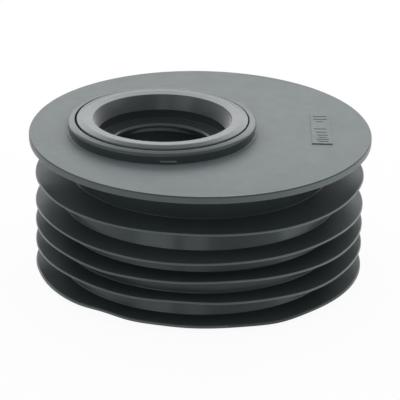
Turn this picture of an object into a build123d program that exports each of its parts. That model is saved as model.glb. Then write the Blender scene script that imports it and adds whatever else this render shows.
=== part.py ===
"""Offset drain reducer: a finned rubber plug for a 110 mm drain, with an off-centre socket for a 40 mm pipe."""

import os
from math import isclose

from build123d import *

# Fins that seal in the drain, each tip set a little below (or above) its own root
FIN_DIAMETER = 110.0
FIN_REACH = 9.0
FIN_ROOT_THICKNESS = 1.4
FIN_TIP_THICKNESS = 0.8
FIN_DROOPS = (0.4, 0.5, -0.25, -0.65, -0.1)
FIN_ROOT_ROUND = 0.4
FIRST_FIN_DEPTH = 13.9
SECOND_FIN_STEP = 9.7
FIN_PITCH = 7.6
GROOVE_DRAFT = 1.2

# Flange that stops on the end of the drain
FLANGE_OVERHANG = 2.1
FLANGE_THICKNESS = 2.35
FLANGE_EDGE_ROUND = 0.6

# Hollow skirt that carries the fins, narrower at its neck under the flange
SKIRT_WALL = 3.0
NECK_STEP = 3.0
RIM_BELOW_LAST_FIN = 1.4
RIM_CHAMFER = 0.8

# Waste pipe and the lip seal that grips it
PIPE_DIAMETER = 40.0
THROAT_CLEARANCE = 1.5
THROAT_LENGTH = 3.05
MOUTH_FLARE = 1.5
MOUTH_ROUND = 0.3
CONE_DEPTH = 5.7
LIP_BITE = 3.5
LIP_THICKNESS = 2.6
LIP_TAPER = 0.9
LIP_ROUND = 0.8
SEAL_WALL = 3.5
SEAL_RIM_REACH = 3.5
SEAL_RIM_DEPTH = 3.5
SEAL_RIM_ROUND = 0.4
SEAL_PROUD = 0.75
SEAL_DISH = 0.15
SEAL_DISH_WIDTH = 3.4
SEAL_EDGE_DROP = 0.45
SEAL_CROWN_ROUND = 4.0

# Socket in the body: collar, seat of the seal, and guide tube of the pipe
COLLAR_HEIGHT = 4.0
COLLAR_WALL = 2.1
COLLAR_EDGE_ROUND = 1.6
COLLAR_FOOT_ROUND = 0.3
SEAM = 0.6
SEAL_CLEARANCE = 0.2
SEAL_FLOOR_GAP = 0.3
HOUSING_WALL = 2.5
HOUSING_FLOOR = 3.3
HOUSING_BITE = 0.5
PIPE_CLEARANCE = 0.5
TUBE_WALL = 2.5
TUBE_LENGTH = 19.0
STOP_REACH = 2.0
STOP_THICKNESS = 2.0

# Low marking pad on the flange, opposite the socket
PAD_WIDTH = 6.9
PAD_LENGTH = 28.0
PAD_HEIGHT = 0.3
PAD_RADIUS = 40.3
PAD_SIDE_SHIFT = 2.9

# Radii of the skirt, about the drain's axis
FIN_RADIUS = FIN_DIAMETER / 2
CORE_RADIUS = FIN_RADIUS - FIN_REACH
GROOVE_RADIUS = CORE_RADIUS - GROOVE_DRAFT
CORE_INNER_RADIUS = CORE_RADIUS - SKIRT_WALL
NECK_RADIUS = CORE_RADIUS - NECK_STEP
NECK_INNER_RADIUS = NECK_RADIUS - SKIRT_WALL
FLANGE_RADIUS = FIN_RADIUS + FLANGE_OVERHANG

# Radii of the seal and its socket, about the pipe's axis
PIPE_RADIUS = PIPE_DIAMETER / 2
THROAT_RADIUS = PIPE_RADIUS + THROAT_CLEARANCE
MOUTH_RADIUS = THROAT_RADIUS + MOUTH_FLARE
SEAL_CROWN_RADIUS = MOUTH_RADIUS + SEAL_DISH_WIDTH
LIP_RADIUS = PIPE_RADIUS - LIP_BITE
SEAL_BARREL_RADIUS = THROAT_RADIUS + SEAL_WALL
SEAL_RIM_RADIUS = SEAL_BARREL_RADIUS + SEAL_RIM_REACH
COLLAR_INNER_RADIUS = SEAL_RIM_RADIUS + SEAM
COLLAR_RADIUS = COLLAR_INNER_RADIUS + COLLAR_WALL
SEAT_RADIUS = SEAL_BARREL_RADIUS + SEAL_CLEARANCE
HOUSING_RADIUS = SEAT_RADIUS + HOUSING_WALL
TUBE_BORE_RADIUS = PIPE_RADIUS + PIPE_CLEARANCE
TUBE_RADIUS = TUBE_BORE_RADIUS + TUBE_WALL
STOP_RADIUS = TUBE_BORE_RADIUS - STOP_REACH

# Heights above the open rim, and the wall's radius under each fin: drafted in the grooves, full at the rim
FIN_DEPTHS = [FIRST_FIN_DEPTH]
UNDER_FIN_RADII = [GROOVE_RADIUS]
for later_fin in range(len(FIN_DROOPS) - 1):
    FIN_DEPTHS.append(FIRST_FIN_DEPTH + SECOND_FIN_STEP + later_fin * FIN_PITCH)
    UNDER_FIN_RADII.append(GROOVE_RADIUS)
UNDER_FIN_RADII[-1] = CORE_RADIUS
FLANGE_TOP = FIN_DEPTHS[-1] + FIN_ROOT_THICKNESS + RIM_BELOW_LAST_FIN
FLANGE_LOW = FLANGE_TOP - FLANGE_THICKNESS
NECK_LOW = FLANGE_TOP - FIRST_FIN_DEPTH
NECK_STEP_LOW = NECK_LOW - SKIRT_WALL
COLLAR_TOP = FLANGE_TOP + COLLAR_HEIGHT
SEAL_CREST = COLLAR_TOP + SEAL_PROUD
SEAL_MOUTH = SEAL_CREST - SEAL_DISH
SEAL_EDGE = SEAL_CREST - SEAL_EDGE_DROP
SEAL_LEDGE = COLLAR_TOP - SEAL_RIM_DEPTH
CONE_LOW = SEAL_CREST - CONE_DEPTH
LIP_TOP = CONE_LOW - THROAT_LENGTH
LIP_LOW = LIP_TOP - LIP_THICKNESS
SEAT_FLOOR = LIP_LOW - SEAL_FLOOR_GAP
HOUSING_LOW = SEAT_FLOOR - HOUSING_FLOOR
TUBE_LOW = HOUSING_LOW - TUBE_LENGTH
STOP_TOP = TUBE_LOW + STOP_THICKNESS

# The socket lies as far to one side as the neck's wall lets it, and shares that wall
SOCKET_OFFSET = NECK_INNER_RADIUS + HOUSING_BITE - HOUSING_RADIUS
SOCKET_PLANE = Plane(origin=(-SOCKET_OFFSET, 0, 0), x_dir=(1, 0, 0), z_dir=(0, -1, 0))
SOCKET_AXIS = Axis((-SOCKET_OFFSET, 0, 0), (0, 0, 1))
PAST_END = 1.0


def rings(part, radius, height):
    """Round edges of a part that have this radius and lie at this height."""
    return part.edges().filter_by(GeomType.CIRCLE).filter_by(
        lambda edge: isclose(edge.radius, radius, abs_tol=1e-4)
        and isclose(edge.arc_center.Z, height, abs_tol=1e-4)
    )


# Outline of the skirt from the flange down to the rim: each fin's upper face, tip and lower face in turn.
# In a drafted groove the wall leans inwards, up to the fin above.
skirt_outline = [
    (0, FLANGE_TOP),
    (FLANGE_RADIUS, FLANGE_TOP),
    (FLANGE_RADIUS, FLANGE_LOW),
    (NECK_RADIUS, FLANGE_LOW),
    (NECK_RADIUS, NECK_LOW),
]
for depth, droop, under_radius in zip(FIN_DEPTHS, FIN_DROOPS, UNDER_FIN_RADII):
    root_top = FLANGE_TOP - depth
    tip_top = root_top - droop
    skirt_outline += [
        (CORE_RADIUS, root_top),
        (FIN_RADIUS, tip_top),
        (FIN_RADIUS, tip_top - FIN_TIP_THICKNESS),
        (under_radius, root_top - FIN_ROOT_THICKNESS),
    ]
skirt_outline += [
    (CORE_RADIUS, 0),
    (CORE_INNER_RADIUS, 0),
    (CORE_INNER_RADIUS, NECK_STEP_LOW),
    (NECK_INNER_RADIUS, NECK_STEP_LOW),
    (NECK_INNER_RADIUS, FLANGE_LOW),
    (0, FLANGE_LOW),
]

# Body: flange, neck, skirt, fins and socket, moulded in one piece
with BuildPart() as reducer_body:
    # Flange, neck, skirt and fins turned as one
    with BuildSketch(Plane.XZ):
        with BuildLine():
            Polyline(*skirt_outline, close=True)
        make_face()
    revolve(axis=Axis.Z)

    # Collar, seal housing and pipe tube
    with BuildSketch(SOCKET_PLANE):
        with BuildLine():
            Polyline(
                (0, COLLAR_TOP),
                (COLLAR_RADIUS, COLLAR_TOP),
                (COLLAR_RADIUS, FLANGE_TOP),
                (HOUSING_RADIUS, FLANGE_TOP),
                (HOUSING_RADIUS, HOUSING_LOW),
                (TUBE_RADIUS, HOUSING_LOW),
                (TUBE_RADIUS, TUBE_LOW),
                (0, TUBE_LOW),
                close=True,
            )
        make_face()
    revolve(axis=SOCKET_AXIS)

    # Seat of the seal and way of the pipe, down to the pipe's stop
    with BuildSketch(SOCKET_PLANE):
        with BuildLine():
            Polyline(
                (0, COLLAR_TOP + PAST_END),
                (COLLAR_INNER_RADIUS, COLLAR_TOP + PAST_END),
                (COLLAR_INNER_RADIUS, SEAL_LEDGE),
                (SEAT_RADIUS, SEAL_LEDGE),
                (SEAT_RADIUS, SEAT_FLOOR),
                (TUBE_BORE_RADIUS, SEAT_FLOOR),
                (TUBE_BORE_RADIUS, STOP_TOP),
                (STOP_RADIUS, STOP_TOP),
                (STOP_RADIUS, TUBE_LOW - PAST_END),
                (0, TUBE_LOW - PAST_END),
                close=True,
            )
        make_face()
    revolve(axis=SOCKET_AXIS, mode=Mode.SUBTRACT)

    # Marking pad, left bare
    with BuildSketch(Plane.XY.offset(FLANGE_TOP)):
        with Locations((PAD_RADIUS, PAD_SIDE_SHIFT)):
            Rectangle(PAD_WIDTH, PAD_LENGTH)
    extrude(amount=PAD_HEIGHT)

    # Rounded and chamfered edges
    fillet(rings(reducer_body, FLANGE_RADIUS, FLANGE_TOP), FLANGE_EDGE_ROUND)
    fillet(rings(reducer_body, COLLAR_RADIUS, COLLAR_TOP), COLLAR_EDGE_ROUND)
    fillet(rings(reducer_body, COLLAR_RADIUS, FLANGE_TOP), COLLAR_FOOT_ROUND)
    chamfer(rings(reducer_body, CORE_RADIUS, 0), RIM_CHAMFER)
    for depth in FIN_DEPTHS[1:]:
        fillet(rings(reducer_body, CORE_RADIUS, FLANGE_TOP - depth), FIN_ROOT_ROUND)
    for depth, under_radius in zip(FIN_DEPTHS, UNDER_FIN_RADII):
        root_low = FLANGE_TOP - depth - FIN_ROOT_THICKNESS
        fillet(rings(reducer_body, under_radius, root_low), FIN_ROOT_ROUND)

# Seal: rim with a dished and a sloped ring on top, flared mouth, throat, and a lip that the pipe stretches
with BuildPart() as socket_seal:
    with BuildSketch(SOCKET_PLANE) as seal_section:
        with BuildLine():
            Polyline(
                (MOUTH_RADIUS, SEAL_MOUTH),
                (SEAL_CROWN_RADIUS, SEAL_CREST),
                (SEAL_RIM_RADIUS, SEAL_EDGE),
                (SEAL_RIM_RADIUS, SEAL_LEDGE),
                (SEAL_BARREL_RADIUS, SEAL_LEDGE),
                (SEAL_BARREL_RADIUS, LIP_LOW),
                (LIP_RADIUS + LIP_TAPER, LIP_LOW),
                (LIP_RADIUS, LIP_TOP),
                (THROAT_RADIUS, LIP_TOP),
                (THROAT_RADIUS, CONE_LOW),
                close=True,
            )
        make_face()
        for corner, rounding in (
            ((LIP_RADIUS, LIP_TOP), LIP_ROUND),
            ((MOUTH_RADIUS, SEAL_MOUTH), MOUTH_ROUND),
            ((SEAL_CROWN_RADIUS, SEAL_CREST), SEAL_CROWN_ROUND),
            ((SEAL_RIM_RADIUS, SEAL_EDGE), SEAL_RIM_ROUND),
        ):
            nearest = seal_section.vertices().sort_by_distance(corner)[0]
            fillet(nearest, rounding)
    revolve(axis=SOCKET_AXIS)

reducer_body.part.label = "reducer_body"
socket_seal.part.label = "socket_seal"

os.makedirs("parts", exist_ok=True)
export_step(reducer_body.part, "parts/reducer_body.step")
export_step(socket_seal.part, "parts/socket_seal.step")
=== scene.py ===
"""Offset drain reducer on a white table, seen as in its photograph."""

from math import atan2, ceil, cos, exp, hypot, pi, radians, sin, tan

import bmesh
import bpy
from mathutils import Matrix, Vector


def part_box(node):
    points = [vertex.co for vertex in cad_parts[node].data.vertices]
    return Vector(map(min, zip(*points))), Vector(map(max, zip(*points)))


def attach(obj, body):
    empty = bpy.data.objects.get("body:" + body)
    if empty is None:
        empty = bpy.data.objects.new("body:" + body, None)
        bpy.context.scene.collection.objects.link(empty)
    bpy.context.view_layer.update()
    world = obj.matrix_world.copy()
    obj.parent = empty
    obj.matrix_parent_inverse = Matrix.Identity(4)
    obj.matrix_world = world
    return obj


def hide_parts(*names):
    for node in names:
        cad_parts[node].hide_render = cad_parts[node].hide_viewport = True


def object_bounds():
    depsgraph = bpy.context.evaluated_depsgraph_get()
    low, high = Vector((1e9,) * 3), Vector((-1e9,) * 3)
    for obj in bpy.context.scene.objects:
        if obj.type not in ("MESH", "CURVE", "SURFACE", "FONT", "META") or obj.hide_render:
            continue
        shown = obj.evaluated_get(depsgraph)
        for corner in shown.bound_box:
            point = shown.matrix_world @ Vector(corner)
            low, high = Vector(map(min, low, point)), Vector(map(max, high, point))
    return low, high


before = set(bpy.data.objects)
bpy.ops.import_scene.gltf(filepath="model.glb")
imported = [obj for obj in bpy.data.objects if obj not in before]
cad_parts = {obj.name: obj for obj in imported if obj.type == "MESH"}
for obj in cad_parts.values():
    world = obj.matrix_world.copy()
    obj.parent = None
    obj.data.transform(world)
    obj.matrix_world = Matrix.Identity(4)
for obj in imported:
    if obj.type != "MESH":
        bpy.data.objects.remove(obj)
cad_low, cad_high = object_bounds()

MM = 0.001

# Sizes in mm that the CAD parts give
body_low, body_high = (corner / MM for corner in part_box("reducer_body"))
seal_low, seal_high = (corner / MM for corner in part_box("socket_seal"))
FLANGE_RADIUS = min(body_high.x, -body_low.x)
COLLAR_TOP = body_high.z
SOCKET_X = (seal_low.x + seal_high.x) / 2
SEAL_RIM_RADIUS = (seal_high.x - seal_low.x) / 2
SEAL_CREST = seal_high.z
LIP_LOW = seal_low.z

# Flange, neck and skirt in mm, about the drain's axis
COLLAR_HEIGHT = 4.0
FLANGE_THICKNESS = 2.35
FLANGE_OVERHANG = 2.1
CHAMFER_RUN = 0.4
CHAMFER_DROP = 0.5
FIN_REACH = 9.0
NECK_SETBACK = 3.0
SKIRT_WALL = 3.0
FLANGE_TOP = COLLAR_TOP - COLLAR_HEIGHT
FLANGE_LOW = FLANGE_TOP - FLANGE_THICKNESS
FIN_RADIUS = FLANGE_RADIUS - FLANGE_OVERHANG
CORE_RADIUS = FIN_RADIUS - FIN_REACH
CORE_INNER_RADIUS = CORE_RADIUS - SKIRT_WALL
NECK_RADIUS = CORE_RADIUS - NECK_SETBACK
NECK_INNER_RADIUS = NECK_RADIUS - SKIRT_WALL
NECK_DRAFT = 1.2
FIN_ROOT_THICKNESS = 1.4
FIN_TIPS = (0.8, 0.8, 0.8, 0.8, 0.95)
FIN_TIP_ROUNDS = (0.25, 0.25, 0.25, 0.25, 0.45)
FIN_FOOT_ROUNDS = (0.2, 0.2, 0.35, 0.35, 0.35)
FIN_TOPS = (35.3, 25.6, 18.0, 10.4, 2.8)
FIN_DROOPS = (0.4, 0.5, -0.25, -0.65, -0.25)
GROOVE_DRAFTS = (2.2, 1.5, 1.2, 1.7, 0.0)
NECK_STEP_DROP = 3.0
NECK_STEP_LOW = FIN_TOPS[0] - NECK_STEP_DROP

# Socket in mm, about the pipe's axis
SEAM = 0.6
COLLAR_WALL = 2.1
COLLAR_INNER_RADIUS = SEAL_RIM_RADIUS + SEAM
COLLAR_RADIUS = COLLAR_INNER_RADIUS + COLLAR_WALL
COLLAR_SLOPE = 0.56
COLLAR_BULGE = 0.35
THROAT_RADIUS = 21.5
MOUTH_FLARE = 1.5
MOUTH_RADIUS = THROAT_RADIUS + MOUTH_FLARE
CROWN_RUN = 3.0
CROWN_RADIUS = MOUTH_RADIUS + CROWN_RUN
LIP_RADIUS = 16.1
LIP_TAPER = 0.5
LIP_SAG = 0.4
LIP_THICKNESS = 2.6
LIP_TOP = LIP_LOW + LIP_THICKNESS
THROAT_HEIGHT = 3.05
CONE_LOW = LIP_TOP + THROAT_HEIGHT
MOUTH_DROP = 0.09
SEAL_MOUTH = SEAL_CREST - MOUTH_DROP
EDGE_DROP = 0.58
SEAL_EDGE = SEAL_CREST - EDGE_DROP
LEDGE_DEPTH = 3.5
SEAL_LEDGE = COLLAR_TOP - LEDGE_DEPTH
BARREL_WALL = 3.5
SEAL_BARREL_RADIUS = THROAT_RADIUS + BARREL_WALL
SEAT_GAP = 0.2
SEAT_RADIUS = SEAL_BARREL_RADIUS + SEAT_GAP
SEAT_FLOOR_GAP = 0.3
SEAT_FLOOR = LIP_LOW - SEAT_FLOOR_GAP
SOCKET_WALL = 2.5
HOUSING_RADIUS = SEAT_RADIUS + SOCKET_WALL
HOUSING_FLOOR = 3.3
HOUSING_LOW = SEAT_FLOOR - HOUSING_FLOOR
TUBE_BORE_RADIUS = 20.5
TUBE_RADIUS = TUBE_BORE_RADIUS + SOCKET_WALL
TUBE_LENGTH = 19.0
TUBE_LOW = HOUSING_LOW - TUBE_LENGTH
STOP_WIDTH = 2.0
STOP_RADIUS = TUBE_BORE_RADIUS - STOP_WIDTH
STOP_HEIGHT = 2.0
STOP_TOP = TUBE_LOW + STOP_HEIGHT

# Roundings of corners in mm: those of many places, then those of one
CRISP_ROUND = 0.12
EDGE_ROUND = 0.3
WALL_ROUND = 0.4
FOOT_ROUND = 0.5
WIDE_ROUND = 0.6
CHAMFER_TOP_ROUND = 0.1
CHAMFER_LOW_ROUND = 0.15
COLLAR_ROUND = 0.9
CROWN_ROUND = 4.0
FIN_UNDER_ROUND = 0.25
LEDGE_ROUND = 0.2
LIP_ROUND = 1.0
THROAT_ROUND = 0.1

# Places where a soft fin has taken a set, fin by fin from the top:
# degrees round the drain, half-width in degrees, lift of the tip in mm
FIN_SETS = (
    ((200, 9, 0.6), (262, 16, 0.35), (304, 16, -0.35), (344, 14, 0.75), (60, 30, 0.4), (120, 25, -0.4)),
    ((208, 18, 0.7), (258, 20, -0.3), (325, 20, 0.55), (40, 25, -0.4), (110, 30, 0.4)),
    ((214, 10, 0.3), (237, 9, -0.3), (280, 14, 0.42), (323, 18, -0.38), (70, 25, 0.5), (130, 20, -0.4)),
    ((222, 20, 0.7), (263, 12, 0.6), (315, 16, -0.85), (50, 30, 0.5), (100, 20, -0.5)),
    ((194, 8, 0.45), (236, 9, 0.95), (256, 9, 0.3), (299, 10, -0.7), (80, 25, 0.5), (140, 20, -0.4)),
)

# How a fin bends: power of its curve from root to tip, and room in mm above the first fin that counts as fin
FIN_BEND_POWER = 1.4
FIN_HEADROOM = 1

# Set of the other soft parts in mm:
# the flange's rim drops at the front and lifts at the back, and the seal sits askew
FLANGE_SET = 0.55
SEAL_SET = 0.6
SEAL_PUSH = 0.7
SEAL_OVAL = 0.3

# Tests on a point's place in mm: slack of a height, and the zone of the neck's wall out of which
# the points of the socket's housing are drawn in
HEIGHT_SLACK = 0.01
KEPT_RADIUS = NECK_INNER_RADIUS - 0.02
NECK_SKIN = 1

# Marking pad in mm, raised on the flange, and its plain strokes: middle (x, y), width and length of each
PAD_X = 40.3
PAD_Y = 2.9
PAD_WIDTH = 6.9
PAD_LENGTH = 28.0
PAD_HEIGHT = 0.3
PAD_SINK = 0.5
PAD_SLOPE = 0.1
STROKE_HEIGHT = 0.12
STROKE_SINK = 0.1
STROKE_SLOPE = 0.08
STROKES = (
    (40.2, 14.2, 4.6, 0.9),
    (40.3, 11.5, 4.7, 0.8),
    (40.1, 9.2, 2.2, 0.8),
    (40.0, 2.7, 4.2, 1.2),
    (40.2, -0.5, 3.4, 0.8),
    (40.6, -3.2, 3.6, 0.8),
    (40.7, -5.5, 3.0, 0.8),
    (40.5, -7.3, 4.2, 0.6),
    (40.8, -8.9, 3.4, 0.6),
)

# Short ridge in mm at the collar's front foot
RIDGE_X = -10.2
RIDGE_Y = -31.15
RIDGE_WIDTH = 5.5
RIDGE_LENGTH = 0.7
RIDGE_LOW = FLANGE_TOP + 0.9
RIDGE_TOP = FLANGE_TOP + 1.35
RIDGE_SLOPE = 0.15

# Mesh: points of a ring, steps of a rounded corner, rings across the flange's top and underside,
# and the angle from which an edge is sharp
TURNS = 240
ARC_STEPS = 4
TOP_RINGS = 14
UNDER_RINGS = 10
SHARP_ANGLE = radians(40)

# Lengths of the mesh in mm: a profile's run beside an edge and its longest run, the margins of the flange's
# top that belong to the collar and to the rim, and the distance within which two points are one
EDGE_RUN = 0.12
LONGEST_RUN = 2.5
TOP_MARGIN = 2
SAME_POINT = 0.002


def straight(start, end):
    """Points from start up to, but without, end: close ones near both ends and even ones between."""
    length = (end - start).length
    if length < 3 * EDGE_RUN:
        return [start]
    inner = length - 2 * EDGE_RUN
    count = max(1, ceil(inner / LONGEST_RUN))
    along = (end - start) / length
    return [start] + [start + along * (EDGE_RUN + inner * k / count) for k in range(count + 1)]


def corner_arc(before, here, after, rounding):
    """Points of the arc that rounds off a corner."""
    back = (before - here).normalized()
    ahead = (after - here).normalized()
    half = back.angle(ahead) / 2
    first = here + back * (rounding / tan(half))
    centre = here + (back + ahead).normalized() * (rounding / sin(half))
    begin = atan2(first.y - centre.y, first.x - centre.x)
    sweep = pi - 2 * half
    if back.x * ahead.y - back.y * ahead.x > 0:
        sweep = -sweep
    angles = [begin + sweep * k / ARC_STEPS for k in range(ARC_STEPS + 1)]
    return [centre + Vector((cos(a), sin(a))) * rounding for a in angles]


def rounded(corners, closed=False):
    """Profile through corners (radius, height, rounding); the ends of an open profile stay sharp."""
    spots = [Vector(corner[:2]) for corner in corners]
    groups = []
    for i, corner in enumerate(corners):
        at_end = not closed and i in (0, len(corners) - 1)
        if at_end or not corner[2]:
            groups.append([spots[i]])
        else:
            groups.append(corner_arc(spots[i - 1], spots[i], spots[(i + 1) % len(spots)], corner[2]))
    points = []
    for group, following in zip(groups, groups[1:] + groups[:1] if closed else groups[1:]):
        points += group[:-1] + straight(group[-1], following[0])
    return points if closed else points + groups[-1]


def rings_about(x, points):
    """Rings (centre, radius, height) of a profile turned about an upright axis at x."""
    return [(x, point.x, point.y) for point in points]


def between(first, last, count):
    """Rings that lead evenly from one ring to another, without the two."""
    steps = [(k + 1) / (count + 1) for k in range(count)]
    return [tuple(a + (b - a) * t for a, b in zip(first, last)) for t in steps]


def fin_lift(fin, degrees):
    """Height in mm by which a soft fin's tip stands off its moulded place."""
    total = 0.0
    for place, width, lift in FIN_SETS[fin]:
        away = (degrees - place + 180) % 360 - 180
        total += lift * exp(-((away / width) ** 2))
    return total


def nearest_fin(z):
    """Number of the fin whose root lies nearest to a height in mm."""
    return min(range(len(FIN_TOPS)), key=lambda k: abs(FIN_TOPS[k] - FIN_ROOT_THICKNESS / 2 - z))


def pipe_distance(spot):
    """Distance in mm of a spot, given in metres, from the pipe's axis."""
    return hypot(spot.x / MM - SOCKET_X, spot.y / MM)


def ring_mesh(name, rings, shape):
    """Closed mesh through a closed row of rings, each point moved by shape(x, y, z, degrees)."""
    points = []
    for x, radius, z in rings:
        for k in range(TURNS):
            angle = 2 * pi * k / TURNS
            place = shape(x + radius * cos(angle), radius * sin(angle), z, 360 * k / TURNS)
            points.append([value * MM for value in place])
    faces = []
    for i in range(len(rings)):
        here = i * TURNS
        there = (i + 1) % len(rings) * TURNS
        for k in range(TURNS):
            after = (k + 1) % TURNS
            faces.append((here + k, here + after, there + after, there + k))
    mesh = bpy.data.meshes.new(name)
    mesh.from_pydata(points, [], faces)
    shell = bmesh.new()
    shell.from_mesh(mesh)
    bmesh.ops.recalc_face_normals(shell, faces=shell.faces)
    shell.to_mesh(mesh)
    shell.free()
    mesh.shade_smooth()
    piece = bpy.data.objects.new(name, mesh)
    bpy.context.collection.objects.link(piece)
    return piece


def body_rings():
    """Rings of the body: up the pipe's way, over collar and flange, round the fins, up inside the skirt."""
    inside = rounded([
        (STOP_RADIUS, TUBE_LOW, 0),
        (STOP_RADIUS, STOP_TOP, EDGE_ROUND),
        (TUBE_BORE_RADIUS, STOP_TOP, EDGE_ROUND),
        (TUBE_BORE_RADIUS, SEAT_FLOOR, EDGE_ROUND),
        (SEAT_RADIUS, SEAT_FLOOR, EDGE_ROUND),
        (SEAT_RADIUS, SEAL_LEDGE, LEDGE_ROUND),
        (COLLAR_INNER_RADIUS, SEAL_LEDGE, EDGE_ROUND),
        (COLLAR_INNER_RADIUS, COLLAR_TOP, CRISP_ROUND),
        (COLLAR_RADIUS + COLLAR_BULGE, COLLAR_TOP - COLLAR_SLOPE, COLLAR_ROUND),
        (COLLAR_RADIUS, FLANGE_TOP, CRISP_ROUND),
        (COLLAR_RADIUS + TOP_MARGIN, FLANGE_TOP, 0),
    ])
    skirt = [
        (FLANGE_RADIUS - TOP_MARGIN, FLANGE_TOP, 0),
        (FLANGE_RADIUS - CHAMFER_RUN, FLANGE_TOP, CHAMFER_TOP_ROUND),
        (FLANGE_RADIUS, FLANGE_TOP - CHAMFER_DROP, CHAMFER_LOW_ROUND),
        (FLANGE_RADIUS, FLANGE_LOW, EDGE_ROUND),
        (NECK_RADIUS + NECK_DRAFT, FLANGE_LOW, WIDE_ROUND),
    ]
    foot = NECK_RADIUS
    for top, droop, tip, tip_round, foot_round, draft in zip(
            FIN_TOPS, FIN_DROOPS, FIN_TIPS, FIN_TIP_ROUNDS, FIN_FOOT_ROUNDS, GROOVE_DRAFTS):
        skirt += [
            (foot, top, foot_round),
            (FIN_RADIUS, top - droop, tip_round),
            (FIN_RADIUS, top - droop - tip, FIN_UNDER_ROUND),
            (CORE_RADIUS - draft, top - FIN_ROOT_THICKNESS, WALL_ROUND),
        ]
        foot = CORE_RADIUS
    skirt += [
        (CORE_RADIUS, 0, FOOT_ROUND),
        (CORE_INNER_RADIUS, 0, WALL_ROUND),
        (CORE_INNER_RADIUS, NECK_STEP_LOW, WIDE_ROUND),
        (NECK_INNER_RADIUS, NECK_STEP_LOW, FOOT_ROUND),
        (NECK_INNER_RADIUS, FLANGE_LOW, 0),
    ]
    outside = rounded([
        (HOUSING_RADIUS, FLANGE_LOW, 0),
        (HOUSING_RADIUS, HOUSING_LOW, WALL_ROUND),
        (TUBE_RADIUS, HOUSING_LOW, WALL_ROUND),
        (TUBE_RADIUS, TUBE_LOW, WALL_ROUND),
        (STOP_RADIUS, TUBE_LOW, 0),
    ])
    first = rings_about(SOCKET_X, inside)
    second = rings_about(0, rounded(skirt))
    third = rings_about(SOCKET_X, outside[:-1])
    top = between(first[-1], second[0], TOP_RINGS)
    under = between(second[-1], third[0], UNDER_RINGS)
    return first + top + second + under + third


def body_shape(lifts):
    """Function that bends the fins, sets the flange's rim and keeps the housing inside the neck's wall."""
    def shape(x, y, z, degrees):
        radius = hypot(x, y)
        if radius > CORE_RADIUS and z < FIN_TOPS[0] + FIN_HEADROOM:
            lift = lifts[nearest_fin(z)][round(degrees * TURNS / 360)]
            reach = (radius - CORE_RADIUS) / (FIN_RADIUS - CORE_RADIUS)
            return x, y, z + lift * reach ** FIN_BEND_POWER
        if z > FLANGE_LOW - HEIGHT_SLACK and radius > NECK_RADIUS:
            reach = (radius - NECK_RADIUS) / (FLANGE_RADIUS - NECK_RADIUS)
            return x, y, z + FLANGE_SET * y / FLANGE_RADIUS * reach
        at_housing = HOUSING_LOW - HEIGHT_SLACK <= z <= FLANGE_LOW + HEIGHT_SLACK
        if at_housing and KEPT_RADIUS < radius < NECK_RADIUS - NECK_SKIN:
            keep = KEPT_RADIUS / radius
            return x * keep, y * keep, z
        return x, y, z
    return shape


def block(x, y, width, length, low, high, slope):
    """Mesh of a low block whose sides lean in by slope towards its top."""
    points = []
    for z, inset in ((low, 0), (high, slope)):
        for across, along in ((-1, -1), (1, -1), (1, 1), (-1, 1)):
            points.append((x + across * (width / 2 - inset), y + along * (length / 2 - inset), z))
    faces = [(3, 2, 1, 0), (4, 5, 6, 7)] + [(k, (k + 1) % 4, (k + 1) % 4 + 4, k + 4) for k in range(4)]
    mesh = bpy.data.meshes.new("block")
    mesh.from_pydata([[value * MM for value in point] for point in points], [], faces)
    return mesh


def unite(piece, mesh):
    """Joins a closed mesh to a piece as one solid."""
    tool = bpy.data.objects.new("tool", mesh)
    bpy.context.collection.objects.link(tool)
    union = piece.modifiers.new("union", "BOOLEAN")
    union.operation = "UNION"
    union.solver = "EXACT"
    union.object = tool
    whole = bpy.data.meshes.new_from_object(piece.evaluated_get(bpy.context.evaluated_depsgraph_get()))
    piece.modifiers.clear()
    piece.data = whole
    bpy.data.objects.remove(tool)


def tidy_mesh(mesh):
    """Merges a union's doubled points, splits its many-sided faces and takes out the flat ones."""
    shell = bmesh.new()
    shell.from_mesh(mesh)
    bmesh.ops.remove_doubles(shell, verts=shell.verts, dist=SAME_POINT * MM)
    bmesh.ops.triangulate(shell, faces=[face for face in shell.faces if len(face.verts) > 4])
    bmesh.ops.dissolve_degenerate(shell, edges=shell.edges, dist=SAME_POINT * MM)
    shell.to_mesh(mesh)
    shell.free()


def raised_forms():
    """Mesh of what stands on the flange: the pad with plain strokes, and the ridge at the collar's foot."""
    top = FLANGE_TOP + PAD_HEIGHT
    mesh = block(PAD_X, PAD_Y, PAD_WIDTH, PAD_LENGTH, FLANGE_TOP - PAD_SINK, top, PAD_SLOPE)
    pad = bpy.data.objects.new("pad", mesh)
    bpy.context.collection.objects.link(pad)
    for x, y, width, length in STROKES:
        unite(pad, block(x, y, width, length, top - STROKE_SINK, top + STROKE_HEIGHT, STROKE_SLOPE))
    unite(pad, block(RIDGE_X, RIDGE_Y, RIDGE_WIDTH, RIDGE_LENGTH, RIDGE_LOW, RIDGE_TOP, RIDGE_SLOPE))
    whole = pad.data
    bpy.data.objects.remove(pad)
    return whole


# Finishes of the body and of the seal, each in the order of the piece's materials
SPARKED_AND_LIT, SATIN, FIN, EDGE_HIGHLIGHT, COLLAR = range(5)
SEAL, LEAD_IN = range(2)

# Zones of the body's finishes: upward part of a level face's normal, then lengths in mm
LEVEL = 0.99
NEARLY_LEVEL = 0.8
FLANGE_SLACK = 0.05
FLANGE_RISE = 1
COLLAR_DEPTH = 1
TIP_DEPTH = 0.3
TIP_RISE = 2
LAST_FIN_ZONE = FIN_TOPS[-1] * 2
# The painted highlight on the last fin's tip reaches up to this x in mm
HIGHLIGHT_TO_X = 10
RIM_DEPTH = 0.12
RIDGE_AWAY = 0.16
RIDGE_ZONE_LOW = FLANGE_TOP + 0.6
RIDGE_ZONE_TOP = FLANGE_TOP + 1.5


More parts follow.
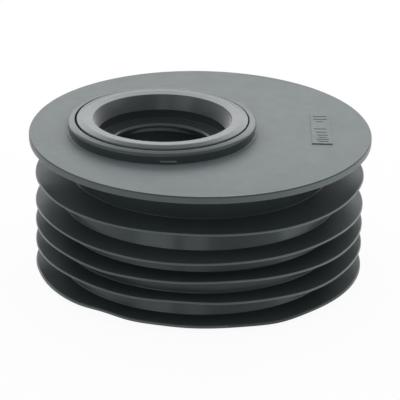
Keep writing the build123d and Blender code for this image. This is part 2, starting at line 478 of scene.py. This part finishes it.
def body_finish(face):
    """Finish of one face of the body."""
    x, y, z = face.center
    reach = hypot(x, y) / MM
    from_pipe = pipe_distance(face.center)
    in_open = from_pipe > COLLAR_RADIUS

    # Painted highlight on the edges: the fins' tips, the flange's rim and the ridge are lightened; the last
    # fin's tip only left of a given x, the others all round
    highlit = z > LAST_FIN_ZONE * MM or x < HIGHLIGHT_TO_X * MM
    on_tip = FIN_RADIUS - TIP_DEPTH < reach and z < (FIN_TOPS[0] + TIP_RISE) * MM and highlit
    beside_collar = from_pipe - COLLAR_RADIUS > RIDGE_AWAY
    on_ridge = beside_collar and RIDGE_ZONE_LOW * MM < z < RIDGE_ZONE_TOP * MM
    if on_tip or on_ridge or reach > FLANGE_RADIUS - RIM_DEPTH:
        return EDGE_HIGHLIGHT

    # Level faces of the flange's top and pad: sparked finish, painted lighter for light from above
    in_rise = (FLANGE_TOP - FLANGE_SET - FLANGE_SLACK) * MM < z < (FLANGE_TOP + FLANGE_RISE) * MM
    if in_open and in_rise and face.normal.z > LEVEL:
        return SPARKED_AND_LIT

    # All that lies near the pipe's axis below the seat: the tube, and a patch of the neck's wall on the left.
    # It takes the fins' finish, painted a little lighter than the walls to stand in for light
    below_seat = not in_open and z < SEAT_FLOOR * MM
    on_fin = z < FLANGE_LOW * MM and face.normal.z > NEARLY_LEVEL
    if below_seat or on_fin:
        return FIN

    on_collar = not in_open and z > (COLLAR_TOP - COLLAR_DEPTH) * MM and face.normal.z > NEARLY_LEVEL
    return COLLAR if on_collar else SATIN


def add_body():
    """Body with its soft fins and what is raised on its flange."""
    lifts = [[fin_lift(fin, 360 * k / TURNS) for k in range(TURNS)] for fin in range(len(FIN_SETS))]
    piece = ring_mesh("body_moulding", body_rings(), body_shape(lifts))
    unite(piece, raised_forms())
    tidy_mesh(piece.data)
    piece.data.set_sharp_from_angle(angle=SHARP_ANGLE)
    for finish in (sparked_and_lit_rubber, satin_rubber, fin_rubber, edge_highlight_rubber, collar_rubber):
        piece.data.materials.append(finish())
    for face in piece.data.polygons:
        face.material_index = body_finish(face)
    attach(piece, "root")
    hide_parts("reducer_body")


def seal_shape(x, y, z, degrees):
    """Place of a point of the seal: its mouth sinks towards the back, its rim is oval and pushed back."""
    share = max(0, (z - SEAL_LEDGE) / (SEAL_CREST - SEAL_LEDGE))
    outward = max(0, (hypot(x - SOCKET_X, y) - MOUTH_RADIUS) / (SEAL_RIM_RADIUS - MOUTH_RADIUS))
    drop = SEAL_SET * share * (y / SEAL_RIM_RADIUS + 1) / 2 * (1 - outward)
    aside = SEAL_OVAL * share * max(0, (x - SOCKET_X) / SEAL_RIM_RADIUS)
    push = SEAL_PUSH * share * outward * max(0, y / SEAL_RIM_RADIUS)
    along = push - SEAL_OVAL * share * y / SEAL_RIM_RADIUS
    return x + aside, y + along, z - drop


def add_seal():
    """Push-in lip seal."""
    profile = rounded([
        (THROAT_RADIUS, CONE_LOW, CRISP_ROUND),
        (MOUTH_RADIUS, SEAL_MOUTH, EDGE_ROUND),
        (CROWN_RADIUS, SEAL_CREST, CROWN_ROUND),
        (SEAL_RIM_RADIUS, SEAL_EDGE, WALL_ROUND),
        (SEAL_RIM_RADIUS, SEAL_LEDGE, EDGE_ROUND),
        (SEAL_BARREL_RADIUS, SEAL_LEDGE, EDGE_ROUND),
        (SEAL_BARREL_RADIUS, LIP_LOW, WALL_ROUND),
        (LIP_RADIUS + LIP_TAPER, LIP_LOW - LIP_SAG, FOOT_ROUND),
        (LIP_RADIUS, LIP_TOP - LIP_SAG, LIP_ROUND),
        (THROAT_RADIUS, LIP_TOP, THROAT_ROUND),
    ], closed=True)
    piece = ring_mesh("lip_seal", rings_about(SOCKET_X, profile), seal_shape)
    for finish in (seal_rubber, lead_in_rubber):
        piece.data.materials.append(finish())
    for face in piece.data.polygons:
        in_mouth = pipe_distance(face.center) < MOUTH_RADIUS and face.center.z > CONE_LOW * MM
        face.material_index = LEAD_IN if in_mouth else SEAL
    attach(piece, "root")
    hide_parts("socket_seal")


# Colours of the rubber, from the sparked top to the seal
# Grey of the flange's top: the black rubber painted lighter to stand in for light from above
LIT_TOP_GREY = (0.121, 0.140, 0.144)
# Grey painted on the edges as a highlight
EDGE_HIGHLIGHT_GREY = (0.066, 0.080, 0.084)
# Black of the fins' faces and the tube, painted a little lighter than the walls to stand in for light
FIN_LIT_BLACK = (0.038, 0.049, 0.051)
BODY_BLACK = (0.031, 0.040, 0.042)
SEAL_BLACK = (0.027, 0.035, 0.037)

# What all the rubber shares: soft patches in colour and in gloss, their size in mm, and the reflections' tint
PATCH_MM = 9.0
PATCH_DETAIL = 4
PATCH_DARK = 0.85
PATCH_LIGHT = 1.15
GLOSS_PATCH_MM = 4.0
GLOSS_DETAIL = 5
GLOSS_FROM = 0.25
GLOSS_TO = 0.75
GRAIN_DETAIL = 2
SPECULAR_TINT = (0.9, 1.0, 1.02, 1)
SPECULAR = 0.5
WEAK_SPECULAR = 0.42

# Painted highlight on the edges, growing from the middle to the right over a run in mm, as a factor of the
# colour
HIGHLIGHT_RUN = 45
HIGHLIGHT_LEFT = 0.85
HIGHLIGHT_RIGHT = 1.55

# Sheen of the seal's mouth, as of dust
MOUTH_SHEEN = 0.85
MOUTH_SHEEN_ROUGHNESS = 0.5


def ramp(tree, value, start, end, low, high, smooth=False):
    """Socket that goes from low to high while value goes from start to end."""
    node = tree.nodes.new("ShaderNodeMapRange")
    if smooth:
        node.interpolation_type = "SMOOTHSTEP"
    node.inputs["From Min"].default_value = start
    node.inputs["From Max"].default_value = end
    node.inputs["To Min"].default_value = low
    node.inputs["To Max"].default_value = high
    tree.links.new(value, node.inputs["Value"])
    return node.outputs["Result"]


def coordinates(tree, kind):
    """Sockets X, Y and Z of one kind of texture coordinates."""
    place = tree.nodes.new("ShaderNodeTexCoord")
    split = tree.nodes.new("ShaderNodeSeparateXYZ")
    tree.links.new(place.outputs[kind], split.inputs[0])
    return split.outputs


def calculated(tree, operation, first, second):
    """Socket of an operation on two sockets."""
    node = tree.nodes.new("ShaderNodeMath")
    node.operation = operation
    tree.links.new(first, node.inputs[0])
    tree.links.new(second, node.inputs[1])
    return node.outputs[0]


def rubber(name, colour, roughness, spread, grain_mm, depth_mm, specular=SPECULAR):
    """Black rubber: fine grain of a given size and depth, with its gloss varied softly over the surface."""
    material = bpy.data.materials.new(name)
    material.use_nodes = True
    tree = material.node_tree
    shader = tree.nodes["Principled BSDF"]
    shader.inputs["Specular IOR Level"].default_value = specular
    shader.inputs["Specular Tint"].default_value = SPECULAR_TINT
    place = tree.nodes.new("ShaderNodeTexCoord")

    def noise(size_mm, detail):
        node = tree.nodes.new("ShaderNodeTexNoise")
        node.inputs["Scale"].default_value = 1 / (size_mm * MM)
        node.inputs["Detail"].default_value = detail
        tree.links.new(place.outputs["Object"], node.inputs["Vector"])
        return node.outputs["Fac"]

    tint = tree.nodes.new("ShaderNodeMix")
    tint.data_type = "RGBA"
    tint.inputs["A"].default_value = (*[value * PATCH_DARK for value in colour], 1)
    tint.inputs["B"].default_value = (*[value * PATCH_LIGHT for value in colour], 1)
    tree.links.new(noise(PATCH_MM, PATCH_DETAIL), tint.inputs["Factor"])
    tree.links.new(tint.outputs["Result"], shader.inputs["Base Color"])
    patches = noise(GLOSS_PATCH_MM, GLOSS_DETAIL)
    gloss = ramp(tree, patches, GLOSS_FROM, GLOSS_TO, roughness - spread, roughness + spread)
    tree.links.new(gloss, shader.inputs["Roughness"])
    bump = tree.nodes.new("ShaderNodeBump")
    bump.inputs["Distance"].default_value = depth_mm * MM
    tree.links.new(noise(grain_mm, GRAIN_DETAIL), bump.inputs["Height"])
    tree.links.new(bump.outputs["Normal"], shader.inputs["Normal"])
    return material


def sparked_and_lit_rubber():
    """Top of the flange and its pad, moulded against a spark-eroded face, and painted a lighter grey to stand
    in for the light that falls on it from above.
    """
    return rubber("sparked_and_lit_rubber", LIT_TOP_GREY, roughness=0.50, spread=0.03, grain_mm=0.35, depth_mm=0.03,
                  specular=WEAK_SPECULAR)


def satin_rubber():
    """Walls, undersides and the collar's side."""
    return rubber("satin_rubber", BODY_BLACK, roughness=0.22, spread=0.03, grain_mm=0.6, depth_mm=0.003)


def fin_rubber():
    """Faces of the fins and what lies round the pipe below the seat, duller than the walls and painted a
    little lighter to stand in for light.
    """
    return rubber("fin_rubber", FIN_LIT_BLACK, roughness=0.48, spread=0.03, grain_mm=0.6, depth_mm=0.006,
                  specular=WEAK_SPECULAR)


def collar_rubber():
    """Top of the collar, between the walls and the fins in gloss."""
    return rubber("collar_rubber", BODY_BLACK, roughness=0.31, spread=0.03, grain_mm=0.6, depth_mm=0.004)


def edge_highlight_rubber():
    """Edges of the flange, the fins and the ridge, painted grey as a highlight, and more so on the right."""
    material = rubber("edge_highlight_rubber", EDGE_HIGHLIGHT_GREY, roughness=0.34, spread=0.06, grain_mm=0.5, depth_mm=0.008)
    tree = material.node_tree
    colour = tree.nodes["Principled BSDF"].inputs["Base Color"]
    before_highlight = colour.links[0].from_socket
    across = coordinates(tree, "Object")["X"]
    painted_highlight = ramp(tree, across, 0.0, HIGHLIGHT_RUN * MM, HIGHLIGHT_LEFT, HIGHLIGHT_RIGHT, smooth=True)
    scale = tree.nodes.new("ShaderNodeVectorMath")
    scale.operation = "SCALE"
    tree.links.new(before_highlight, scale.inputs[0])
    tree.links.new(painted_highlight, scale.inputs["Scale"])
    tree.links.new(scale.outputs[0], colour)
    return material


def seal_rubber():
    """Seal, a little darker than the body."""
    return rubber("smooth_seal_rubber", SEAL_BLACK, roughness=0.25, spread=0.02, grain_mm=0.5, depth_mm=0.003)


def lead_in_rubber():
    """Seal's flared mouth, duller than the rest of it."""
    material = rubber("lead_in_rubber", SEAL_BLACK, roughness=0.30, spread=0.02, grain_mm=0.5, depth_mm=0.003)
    shader = material.node_tree.nodes["Principled BSDF"]
    shader.inputs["Sheen Weight"].default_value = MOUTH_SHEEN
    shader.inputs["Sheen Roughness"].default_value = MOUTH_SHEEN_ROUGHNESS
    return material


# Camera: where the photograph was taken from, and its lens in mm
VIEW_TARGET = Vector((0.254, 0.0, 24.01)) * MM
VIEW_ELEVATION = radians(22.657)
VIEW_ROLL = radians(0.932)
VIEW_DISTANCE = 894.4 * MM
LENS = 238.8


def add_camera():
    """Camera in front of the object, looking down at it."""
    forward = Vector((0, cos(VIEW_ELEVATION), -sin(VIEW_ELEVATION)))
    level = Vector((1, 0, 0))
    upright = level.cross(forward)
    right = level * cos(VIEW_ROLL) + upright * sin(VIEW_ROLL)
    up = upright * cos(VIEW_ROLL) - level * sin(VIEW_ROLL)
    data = bpy.data.cameras.new("camera")
    data.lens = LENS
    camera = bpy.data.objects.new("camera", data)
    turn = Matrix((right, up, -forward)).transposed().to_4x4()
    camera.matrix_world = Matrix.Translation(VIEW_TARGET - VIEW_DISTANCE * forward) @ turn
    bpy.context.collection.objects.link(camera)
    bpy.context.scene.camera = camera


# Studio: brightness of the surroundings, and the directions between which it changes
WORLD_FILL = 0.95
CEILING_DIM = 0.85
CEILING_FROM = 0.45
CEILING_TO = 0.8
FRONT_DIM = 0.55
FRONT_FROM = -0.9
FRONT_TO = -0.2

# White table: its size in m, its own surface, and how much of what is seen of it is plain white
FLOOR_SIZE = 3.0
FLOOR_COLOUR = (0.9, 0.9, 0.9, 1)
FLOOR_ROUGHNESS = 0.8
FLOOR_GLOW = 0.94

# Lamps, all aimed at one point: name, place, width and height in m, and watts
LAMP_AIM = Vector((0, 0, 0.05))
SOFTBOXES = (
    ("back_panel", Vector((0, 0.665, 0.396)), 1.6, 0.34, 3.6),
    ("left_panel", Vector((-0.69, -0.98, 0.27)), 0.65, 0.32, 0.95),
    ("right_panel", Vector((0.95, -0.1, 0.075)), 0.5, 0.13, 0.3),
    ("front_panel", Vector((-0.05, -1.2, 0.26)), 0.4, 0.16, 0.4),
)


def seen_ray(tree):
    """Socket that is 1 for the rays that show a surface as it looks: camera, glossy and transmission rays."""
    path = tree.nodes.new("ShaderNodeLightPath").outputs
    direct = calculated(tree, "MAXIMUM", path["Is Camera Ray"], path["Is Glossy Ray"])
    return calculated(tree, "MAXIMUM", direct, path["Is Transmission Ray"])


def add_world():
    """White walls, dimmer overhead and behind the camera; they light the object less than they show."""
    world = bpy.data.worlds.new("studio")
    world.use_nodes = True
    tree = world.node_tree
    background = tree.nodes["Background"]
    strength = ramp(tree, seen_ray(tree), 0.0, 1.0, WORLD_FILL, 1.0)
    tree.links.new(strength, background.inputs["Strength"])
    way = coordinates(tree, "Generated")
    overhead = ramp(tree, way["Z"], CEILING_FROM, CEILING_TO, 1.0, CEILING_DIM, smooth=True)
    front = ramp(tree, way["Y"], FRONT_FROM, FRONT_TO, FRONT_DIM, 1.0, smooth=True)
    tree.links.new(calculated(tree, "MULTIPLY", overhead, front), background.inputs["Color"])
    bpy.context.scene.world = world


def add_floor():
    """White table that keeps a faint shadow."""
    bpy.ops.mesh.primitive_plane_add(size=FLOOR_SIZE, location=(0, 0, cad_low.z))
    floor = bpy.context.object
    floor.name = "floor"
    material = bpy.data.materials.new("white_table")
    material.use_nodes = True
    tree = material.node_tree
    shader = tree.nodes["Principled BSDF"]
    shader.inputs["Base Color"].default_value = FLOOR_COLOUR
    shader.inputs["Roughness"].default_value = FLOOR_ROUGHNESS
    shader.inputs["Specular IOR Level"].default_value = 0.0
    glow = tree.nodes.new("ShaderNodeEmission")
    mix = tree.nodes.new("ShaderNodeMixShader")
    tree.links.new(ramp(tree, seen_ray(tree), 0.0, 1.0, 0.0, FLOOR_GLOW), mix.inputs["Fac"])
    tree.links.new(shader.outputs[0], mix.inputs[1])
    tree.links.new(glow.outputs[0], mix.inputs[2])
    tree.links.new(mix.outputs[0], tree.nodes["Material Output"].inputs["Surface"])
    floor.data.materials.append(material)


def add_softbox(name, place, width, height, watts):
    """Soft rectangular lamp that faces the object."""
    data = bpy.data.lights.new(name, "AREA")
    data.shape = "RECTANGLE"
    data.size = width
    data.size_y = height
    data.energy = watts
    lamp = bpy.data.objects.new(name, data)
    lamp.location = place
    lamp.rotation_euler = (LAMP_AIM - place).to_track_quat("-Z", "Y").to_euler()
    bpy.context.collection.objects.link(lamp)


bpy.context.scene.view_settings.view_transform = "Standard"
add_body()
add_seal()
add_camera()
add_world()
add_floor()
for softbox in SOFTBOXES:
    add_softbox(*softbox)
